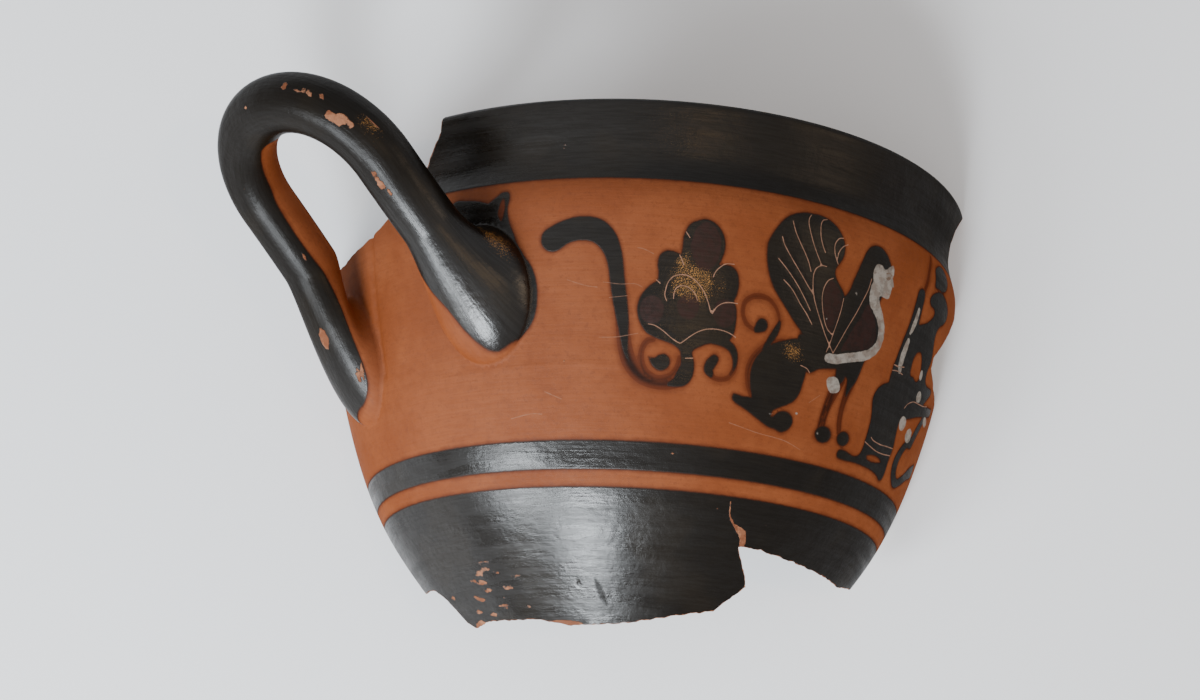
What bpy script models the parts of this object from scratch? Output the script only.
"""Wall fragment of a wheel-thrown drinking bowl, with its one loop handle.

The bowl's own frame has X to the right, Y up its turning axis and Z out of the middle of the
picture side, with its origin at the middle of the rim. The fragment is made in that frame, as one
closed body: outer face, inner face, broken edges and handle share their edge points. Then it is
laid down on its broken edges, picture side up, and what it stands on is worn flat.
Lengths are in metres and angles in degrees. Depth is measured down from the rim.
"""
import bmesh
import bpy
import numpy as np
from math import asin, ceil, cos, degrees, pi, radians, sin, sqrt
from mathutils import Matrix, Vector
from mathutils.geometry import delaunay_2d_cdt

NAME = "skyphos_fragment"

# The bowl's turned shape. The rim's hollow is the share of its overhang left half way down to the neck
RIM_RADIUS = 0.1100
NECK_RADIUS = 0.1057
SHOULDER_RADIUS = 0.1072
BASE_RADIUS = 0.0344
RIM_DEPTH = 0.0030
NECK_DEPTH = 0.0190
SHOULDER_DEPTH = 0.0271
BODY_DEPTH = 0.1723
RIM_THICKNESS = 0.0046
WALL_THICKNESS = 0.0052
LOW_THICKNESS = 0.0064
RIM_ROUNDING = 0.0021
RIM_HOLLOW = 0.45

# Body under the shoulder: share of the way down, and share left of what its radius loses
BODY_CURVE = ((0.084, 0.986), (0.180, 0.942), (0.397, 0.817), (0.614, 0.615), (0.807, 0.320), (1.0, 0.0))

# Handle: a round rod bent into a loop, sloping up from two roots on the wall. The pull is the share of
# a root's width that the clay draws in as it leaves the wall; the fullness is how straight it meets the rod
HANDLE_AZIMUTH = -46.7
HANDLE_TILT = 39.0
HANDLE_REACH = 0.0781
HANDLE_HALF_WIDTH = 0.0290
HANDLE_BEND = 0.0286
ROD_RADIUS = 0.0090
ROOT_DEPTH = 0.0573
ROOT_HALF_SPREAD = 0.0318
ROOT_HALF_WIDTH = 0.0160
ROOT_HALF_HEIGHT = 0.0205
LEFT_ROOT_DROP = 0.0088
FLARE_LENGTH = 0.0270
FLARE_PULL = 0.45
FLARE_FULLNESS = 0.0200

# How far the fragment reaches
BREAK_OVER_ROOT = 0.0035
LEFT_OF_ROOT = 23.0
RIGHT_END = 88.0
BREAK_DEPTH = 0.1472

# Corners of the break. Over the handle: degrees from its middle, share of the depth over its roots
OVER_HANDLE = ((10.9, 0.0), (9.9, 0.144), (6.2, 0.396), (0.4, 0.71), (-4.2, 0.865), (-8.7, 0.95),
               (-17.8, 1.04))
# On the left, which lies underneath: degrees from the left end, share of the way down to the low edge
LEFT_SIDE = ((15.0, 0.015), (9.0, 0.06), (4.6, 0.146), (1.2, 0.323), (-0.6, 0.50), (0.0, 0.68),
             (2.6, 0.83), (4.0, 0.885))
# Along the low edge and up the right, with a notch between: azimuth, share of the break's depth
LOW_EDGE = ((-77.0, 0.914), (-71.5, 0.920), (-67.3, 0.943), (-63.6, 0.990), (-59.6, 1.005), (-51.7, 0.997),
            (-31.2, 1.0), (-19.2, 1.014), (-0.5, 1.007), (25.4, 0.972), (29.1, 0.945), (32.5, 0.919),
            (29.4, 0.889), (25.6, 0.852), (30.9, 0.852), (41.3, 0.859), (57.9, 0.868), (70.0, 0.872))
# On the right: degrees from the right end, share of the break's depth
RIGHT_SIDE = ((-1.3, 0.850), (1.0, 0.71), (0.0, 0.58), (-1.5, 0.49), (-6.0, 0.432), (-15.0, 0.419),
              (-20.5, 0.392), (-20.7, 0.370), (-17.6, 0.336), (-13.5, 0.290), (-10.0, 0.240),
              (-11.5, 0.178), (-14.5, 0.130), (-16.6, 0.085), (-16.3, 0.055), (-13.8, 0.016), (-12.3, 0.0))

# Fineness, the room between the outline and the points inside it, and the wear under the resting corners
MESH_STEP = 0.0072
CLEARANCE = 0.45 * MESH_STEP
LIP_ROWS = 4
ROD_SIDES = 18
FLARE_RINGS = 5
ARM_RINGS = 6
BEND_RINGS = 16
FLAT_WEAR = 0.0008
SMOOTH_ANGLE = 35.0
CURVE_STEPS = 900

CLAY_COLOUR = (0.47, 0.19, 0.09, 1.0)
CLAY_ROUGHNESS = 0.7


def smooth_curve(points):
    """A natural cubic through points (x, y) that runs on straight beyond both ends."""
    x, y = np.array(points, float).T
    last = len(x) - 1
    gap = np.diff(x)
    slope = np.diff(y) / gap
    system = np.eye(last + 1)
    change = np.zeros(last + 1)
    for i in range(1, last):
        system[i, i - 1:i + 2] = gap[i - 1], 2 * (gap[i - 1] + gap[i]), gap[i]
        change[i] = 6 * (slope[i] - slope[i - 1])
    bend = np.linalg.solve(system, change)
    start_slope = slope[0] - gap[0] * bend[1] / 6
    end_slope = slope[-1] + gap[-1] * bend[-2] / 6

    def value(at):
        at = np.asarray(at, float)
        i = np.clip(np.searchsorted(x, at) - 1, 0, last - 1)
        before, after, h = x[i + 1] - at, at - x[i], gap[i]
        curve = (bend[i] * before ** 3 + bend[i + 1] * after ** 3) / (6 * h)
        curve = curve + (y[i] / h - bend[i] * h / 6) * before + (y[i + 1] / h - bend[i + 1] * h / 6) * after
        curve = np.where(at < x[0], y[0] + start_slope * (at - x[0]), curve)
        return np.where(at > x[-1], y[-1] + end_slope * (at - x[-1]), curve)
    return value


def profile_points():
    """Depth and radius down the outer face: rim, drawn-in neck, shoulder and body."""
    middle = (RIM_DEPTH + NECK_DEPTH) / 2
    points = [(RIM_DEPTH, RIM_RADIUS), (middle, NECK_RADIUS + RIM_HOLLOW * (RIM_RADIUS - NECK_RADIUS))]
    points += [(NECK_DEPTH, NECK_RADIUS), (SHOULDER_DEPTH, SHOULDER_RADIUS)]
    for down, left in BODY_CURVE:
        depth = SHOULDER_DEPTH + down * (BODY_DEPTH - SHOULDER_DEPTH)
        points.append((depth, BASE_RADIUS + left * (SHOULDER_RADIUS - BASE_RADIUS)))
    return points


profile = smooth_curve(profile_points())
thickness_points = ((0.0, RIM_THICKNESS), (BODY_DEPTH / 2, WALL_THICKNESS), (BODY_DEPTH, LOW_THICKNESS))
thickness = smooth_curve(thickness_points)


def around(azimuth, radius, height):
    """Points of the bowl's frame from azimuth, radius and height."""
    turn = np.radians(azimuth)
    return np.stack([radius * np.sin(turn), height + 0 * turn, radius * np.cos(turn)], -1)


def fall(depth):
    """How fast the radius changes with depth."""
    tiny = RIM_ROUNDING / 50
    return (profile(depth + tiny) - profile(depth - tiny)) / (2 * tiny)


def fullness(depth):
    """0 on the crest of the rounded rim, 1 where the wall has its whole thickness."""
    return np.sqrt(1 - np.clip(1 - depth / RIM_ROUNDING, 0, 1) ** 2)


def outer_face(azimuth, depth):
    return around(azimuth, profile(depth) - thickness(depth) / 2 * (1 - fullness(depth)), -depth)


def inner_face(azimuth, depth):
    """The outer face set in along its normal; both meet in the crest of the rim."""
    lean = fall(depth) * np.clip(depth / RIM_ROUNDING, 0, 1)
    length = np.sqrt(1 + lean ** 2)
    sink = thickness(depth) / 2 * (1 + fullness(depth))
    return around(azimuth, profile(depth) - sink / length, -depth - sink * lean / length)


def outward(azimuth, depth):
    """Unit normal of the outer face."""
    normal = around(azimuth, 1.0, fall(depth))
    return normal / np.linalg.norm(normal, axis=-1, keepdims=True)


def way_down():
    """Two functions between depth and the length down the outer face from the crest."""
    rounding = RIM_ROUNDING * (1 - np.cos(np.linspace(0, pi / 2, CURVE_STEPS // 10)))
    depth = np.concatenate([rounding, np.linspace(RIM_ROUNDING, 1.5 * BODY_DEPTH, CURVE_STEPS)[1:]])
    steps = np.linalg.norm(np.diff(outer_face(0.0, depth), axis=0), axis=1)
    length = np.concatenate([[0.0], np.cumsum(steps)])
    return lambda at: np.interp(at, depth, length), lambda at: np.interp(at, length, depth)


length_at, depth_at = way_down()


def root_depth(side):
    """Depth of the right root (side 1) or the left one (side -1), which sits a little lower."""
    return ROOT_DEPTH + (LEFT_ROOT_DROP if side < 0 else 0.0)


def root_azimuth(side):
    return HANDLE_AZIMUTH + side * degrees(asin(ROOT_HALF_SPREAD / float(profile(ROOT_DEPTH))))


def break_corners():
    """The fragment's outline as azimuth and depth, from the rim's left end round to its right end."""
    over_root = ROOT_DEPTH - ROOT_HALF_HEIGHT - BREAK_OVER_ROOT
    left_end, drop = root_azimuth(-1) - LEFT_OF_ROOT, BREAK_DEPTH - over_root
    corners = [(HANDLE_AZIMUTH + turn, share * over_root) for turn, share in OVER_HANDLE]
    corners += [(left_end + turn, over_root + share * drop) for turn, share in LEFT_SIDE]
    corners += [(azimuth, share * BREAK_DEPTH) for azimuth, share in LOW_EDGE]
    return corners + [(RIGHT_END + turn, share * BREAK_DEPTH) for turn, share in RIGHT_SIDE]


def flatten(azimuth, depth):
    """The outer face unrolled: across the rim, and down its length."""
    return np.stack([np.radians(azimuth) * RIM_RADIUS, -length_at(depth)], -1)


def unflatten(flat):
    return np.degrees(flat[..., 0] / RIM_RADIUS), depth_at(-flat[..., 1])


def lip_step():
    return length_at(RIM_ROUNDING) / LIP_ROWS


def outline_points():
    """The outline with its edges cut into steps. Returns flat points; the crest's come last."""
    azimuth, depth = np.array(break_corners()).T
    corners = flatten(azimuth, depth)
    points = []
    for a, b in zip(corners[:-1], corners[1:]):
        real = np.linalg.norm(outer_face(*unflatten(a)) - outer_face(*unflatten(b)))
        cuts = set(np.arange(ceil(real / MESH_STEP)) / ceil(real / MESH_STEP))
        high, low = sorted((-a[1], -b[1]))
        if high < LIP_ROWS * lip_step() / 2:
            rows = [row for row in lip_step() * np.arange(1, LIP_ROWS + 1) if high < row < low]
            cuts |= {(-row - a[1]) / (b[1] - a[1]) for row in rows}
        points += [a + share * (b - a) for share in sorted(cuts)]
    first, last = corners[0, 0] / MESH_STEP, corners[-1, 0] / MESH_STEP
    stations = MESH_STEP * np.arange(ceil(first + 0.5), last - 0.5)
    crest = [corners[-1]] + [np.array([x, 0.0]) for x in stations[::-1]]
    return np.array(points), np.array(crest)


def inside(points, loop):
    """Which points lie inside a closed loop."""
    x, y = points[:, None, 0], points[:, None, 1]
    a, b = loop[None], np.roll(loop, -1, axis=0)[None]
    spans = (a[..., 1] > y) != (b[..., 1] > y)
    rise = np.where(b[..., 1] == a[..., 1], 1.0, b[..., 1] - a[..., 1])
    crossing = a[..., 0] + (y - a[..., 1]) / rise * (b[..., 0] - a[..., 0])
    return (spans & (x < crossing)).sum(axis=1) % 2 == 1


def clear_of(points, loop):
    """Distance from each point to the nearest of a loop's points."""
    return np.linalg.norm(points[:, None] - loop[None], axis=2).min(axis=1)


def face_points():
    """Even rows of points over the unrolled wall, wider apart where the real wall is narrower."""
    azimuth, depth = np.array(break_corners()).T
    widest, deepest = np.radians(np.abs(azimuth).max()) * RIM_RADIUS, length_at(depth.max())
    rows = list(lip_step() * np.arange(1, LIP_ROWS + 1))
    rows += list(np.arange(rows[-1] + CLEARANCE, deepest, MESH_STEP))
    points = []
    for number, row in enumerate(rows):
        spread = MESH_STEP * RIM_RADIUS / float(profile(depth_at(row)))
        shift = 0.5 * spread if number % 2 and number > LIP_ROWS else 0.0
        reach = int(widest / spread) + 1
        points += [(shift + i * spread, -row) for i in range(-reach, reach + 1)]
    return np.array(points)


def sheet(outline, holes):
    """Triangles over the unrolled wall inside the outline and outside the holes."""
    loops = [outline] + holes
    extra = face_points()
    keep = inside(extra, outline) & (clear_of(extra, outline) > CLEARANCE)
    near_lip = -extra[:, 1] < length_at(RIM_ROUNDING) + MESH_STEP
    ends = outline[np.abs(outline[:, 1]) > 0]
    keep |= inside(extra, outline) & near_lip & (clear_of(extra, ends) > CLEARANCE)
    for hole in holes:
        keep &= ~inside(extra, hole) & (clear_of(extra, hole) > CLEARANCE)
    points = np.concatenate(loops + [extra[keep]])
    edges = []
    start = 0
    for loop in loops:
        n = len(loop)
        edges += [(start + i, start + (i + 1) % n) for i in range(n)]
        start += n
    found = delaunay_2d_cdt([Vector(p) for p in points], edges, [], 1, 1e-9)
    origin = [ids[0] for ids in found[3]]
    faces = np.array([[origin[i] for i in face] for face in found[2]])
    middle = points[faces].mean(axis=1)
    for hole in holes:
        faces, middle = faces[~inside(middle, hole)], middle[~inside(middle, hole)]
    return points, faces


def root_ring(side):
    """The foot of one handle root on the unrolled wall, point by point round the rod."""
    turn = np.arange(ROD_SIDES) / ROD_SIDES * 2 * pi
    depth = root_depth(side) - ROOT_HALF_HEIGHT * np.sin(turn)
    azimuth = root_azimuth(side) + side * np.degrees(ROOT_HALF_WIDTH * np.cos(turn) / profile(depth))
    return flatten(azimuth, depth)


def handle_frame():
    """Middle between the roots, and the loop's directions: outward, to the right, and up off its plane."""
    tilt = radians(HANDLE_TILT)
    radial, up = around(HANDLE_AZIMUTH, 1.0, 0.0), np.array([0.0, 1.0, 0.0])
    across = around(HANDLE_AZIMUTH + 90, 1.0, 0.0)
    distance = sqrt(float(profile(ROOT_DEPTH)) ** 2 - ROOT_HALF_SPREAD ** 2)
    middle = distance * radial - ROOT_DEPTH * up
    return middle, cos(tilt) * radial + sin(tilt) * up, across, cos(tilt) * up - sin(tilt) * radial


def arm_offset(out):
    """Half the distance between the two arms, at a distance out from the roots."""
    straight = HANDLE_REACH - HANDLE_BEND
    return HANDLE_HALF_WIDTH + (ROOT_HALF_SPREAD - HANDLE_HALF_WIDTH) * max(0.0, 1 - out / straight) ** 2


def rod_line():
    """Middle line of the rod as (sideways, outward), from the right flare's end round to the left one's."""
    straight = HANDLE_REACH - HANDLE_BEND
    right = [(arm_offset(out), out) for out in np.linspace(FLARE_LENGTH, straight, ARM_RINGS)]
    for turn in np.linspace(0, pi, BEND_RINGS + 1)[1:-1]:
        right.append((HANDLE_HALF_WIDTH * cos(turn), straight + HANDLE_BEND * sin(turn)))
    return right + [(-side, out) for side, out in right[:ARM_RINGS][::-1]]


def rod_ring(line, i):
    """One ring of the rod, square to its middle line."""
    middle, out, across, up = handle_frame()
    place = [middle + s * across + o * out for s, o in line]
    along = place[min(i + 1, len(place) - 1)] - place[max(i - 1, 0)]
    along = along / np.linalg.norm(along)
    away = np.cross(up, along)
    turn = np.arange(ROD_SIDES)[:, None] / ROD_SIDES * 2 * pi
    return place[i] + ROD_RADIUS * (np.cos(turn) * away + np.sin(turn) * up), along


def flare(foot, ring, along):
    """Rings between a root's foot on the wall and the rod, leaving the wall in a hollow curve."""
    azimuth, depth = unflatten(foot)
    start = outer_face(azimuth, depth)
    inward = start.mean(axis=0) - start
    leave = FLARE_LENGTH * outward(azimuth, depth) + FLARE_PULL * inward
    arrive = FLARE_FULLNESS * along
    rings = []
    for share in np.arange(1, FLARE_RINGS + 1) / (FLARE_RINGS + 1):
        a = 2 * share ** 3 - 3 * share ** 2 + 1
        b = share ** 3 - 2 * share ** 2 + share
        rings.append(a * start + b * leave + (1 - a) * ring + (share ** 3 - share ** 2) * arrive)
    return rings


def bands(mesh, rings):
    """Faces between rings of points, each already in the mesh."""
    for low, high in zip(rings[:-1], rings[1:]):
        n = len(low)
        for i in range(n):
            mesh.faces.new((low[i], low[(i + 1) % n], high[(i + 1) % n], high[i]))


def fragment():
    """The fragment as one closed body in the bowl's frame."""
    edge, crest = outline_points()
    outline = np.concatenate([edge, crest])
    feet = [root_ring(1), root_ring(-1)]
    outer_flat, outer_faces = sheet(outline, feet)
    inner_flat, inner_faces = sheet(outline, [])
    mesh = bmesh.new()
    outer = [mesh.verts.new(p) for p in outer_face(*unflatten(outer_flat))]
    inner = [mesh.verts.new(p) for p in inner_face(*unflatten(inner_flat))]
    n = len(outline)
    top = range(len(edge), n)
    for i in list(top) + [0]:
        mesh.verts.remove(inner[i])
        inner[i] = outer[i]
    for face in outer_faces:
        mesh.faces.new([outer[i] for i in face])
    for face in inner_faces:
        mesh.faces.new([inner[i] for i in face[::-1]])
    for i in range(len(edge)):
        corners = [outer[i], inner[i], inner[(i + 1) % n], outer[(i + 1) % n]]
        mesh.faces.new(list(dict.fromkeys(corners)))
    line = rod_line()
    right_foot = outer[n:n + ROD_SIDES]
    left_foot = outer[n + ROD_SIDES:n + 2 * ROD_SIDES]
    ring, along = rod_ring(line, 0)
    rings = [right_foot]
    rings += [[mesh.verts.new(p) for p in points] for points in flare(feet[0], ring, along)]
    for i in range(len(line)):
        rings.append([mesh.verts.new(p) for p in rod_ring(line, i)[0]])
    ring, along = rod_ring(line, len(line) - 1)
    turned = flare(feet[1], ring, -along)
    rings += [[mesh.verts.new(p) for p in points] for points in turned[::-1]]
    rings.append(left_foot)
    bands(mesh, rings)
    bmesh.ops.recalc_face_normals(mesh, faces=mesh.faces)
    return mesh


def resting_face():
    """Outward normal and one corner of the broad face on which the outline's corners lie."""
    azimuth, depth = np.array(break_corners()).T
    hull = bmesh.new()
    for p in np.concatenate([outer_face(azimuth, depth), inner_face(azimuth, depth)]):
        hull.verts.new(p)
    bmesh.ops.convex_hull(hull, input=hull.verts)
    middle = sum((v.co for v in hull.verts), Vector()) / len(hull.verts)
    best = None
    for face in hull.faces:
        normal = face.normal if face.normal.dot(face.calc_center_median() - middle) > 0 else -face.normal
        score = -normal.z * face.calc_area()
        if best is None or score > best[0]:
            best = score, normal.copy(), face.verts[0].co.copy()
    hull.free()
    return best[1], best[2]


def lie_down(mesh):
    """Turn the fragment onto its resting face with the rim towards +Y, wear that face flat, centre it."""
    normal, corner = resting_face()
    up = -normal
    far = (Vector((0, 1, 0)) - up * up.y).normalized()
    turn = Matrix((far.cross(up), far, up)).to_4x4()
    level = (turn @ corner).z + FLAT_WEAR
    bmesh.ops.transform(mesh, matrix=Matrix.Translation((0, 0, -level)) @ turn, verts=mesh.verts)
    everything = list(mesh.verts) + list(mesh.edges) + list(mesh.faces)
    floor = {"plane_co": (0, 0, 0), "plane_no": (0, 0, -1)}
    bmesh.ops.bisect_plane(mesh, geom=everything, dist=1e-7, clear_outer=True, **floor)
    rims = [e for e in mesh.edges if e.is_boundary]
    bmesh.ops.triangle_fill(mesh, edges=rims, use_beauty=True, normal=(0, 0, -1))
    bmesh.ops.recalc_face_normals(mesh, faces=mesh.faces)
    low = Vector([min(v.co[i] for v in mesh.verts) for i in range(3)])
    high = Vector([max(v.co[i] for v in mesh.verts) for i in range(3)])
    middle = (low + high) / 2
    bmesh.ops.translate(mesh, vec=(-middle.x, -middle.y, -low.z), verts=mesh.verts)


def clay():
    material = bpy.data.materials.new("fired_clay")
    material.use_nodes = True
    shader = material.node_tree.nodes["Principled BSDF"]
    shader.inputs["Base Color"].default_value = CLAY_COLOUR
    shader.inputs["Roughness"].default_value = CLAY_ROUGHNESS
    shader.inputs["Metallic"].default_value = 0.0
    return material


def main():
    for ob in list(bpy.data.objects):
        bpy.data.objects.remove(ob, do_unlink=True)
    mesh = fragment()
    lie_down(mesh)
    data = bpy.data.meshes.new(NAME)
    mesh.to_mesh(data)
    mesh.free()
    data.shade_smooth()
    data.set_sharp_from_angle(angle=radians(SMOOTH_ANGLE))
    data.materials.append(clay())
    bpy.context.scene.collection.objects.link(bpy.data.objects.new(NAME, data))


main()
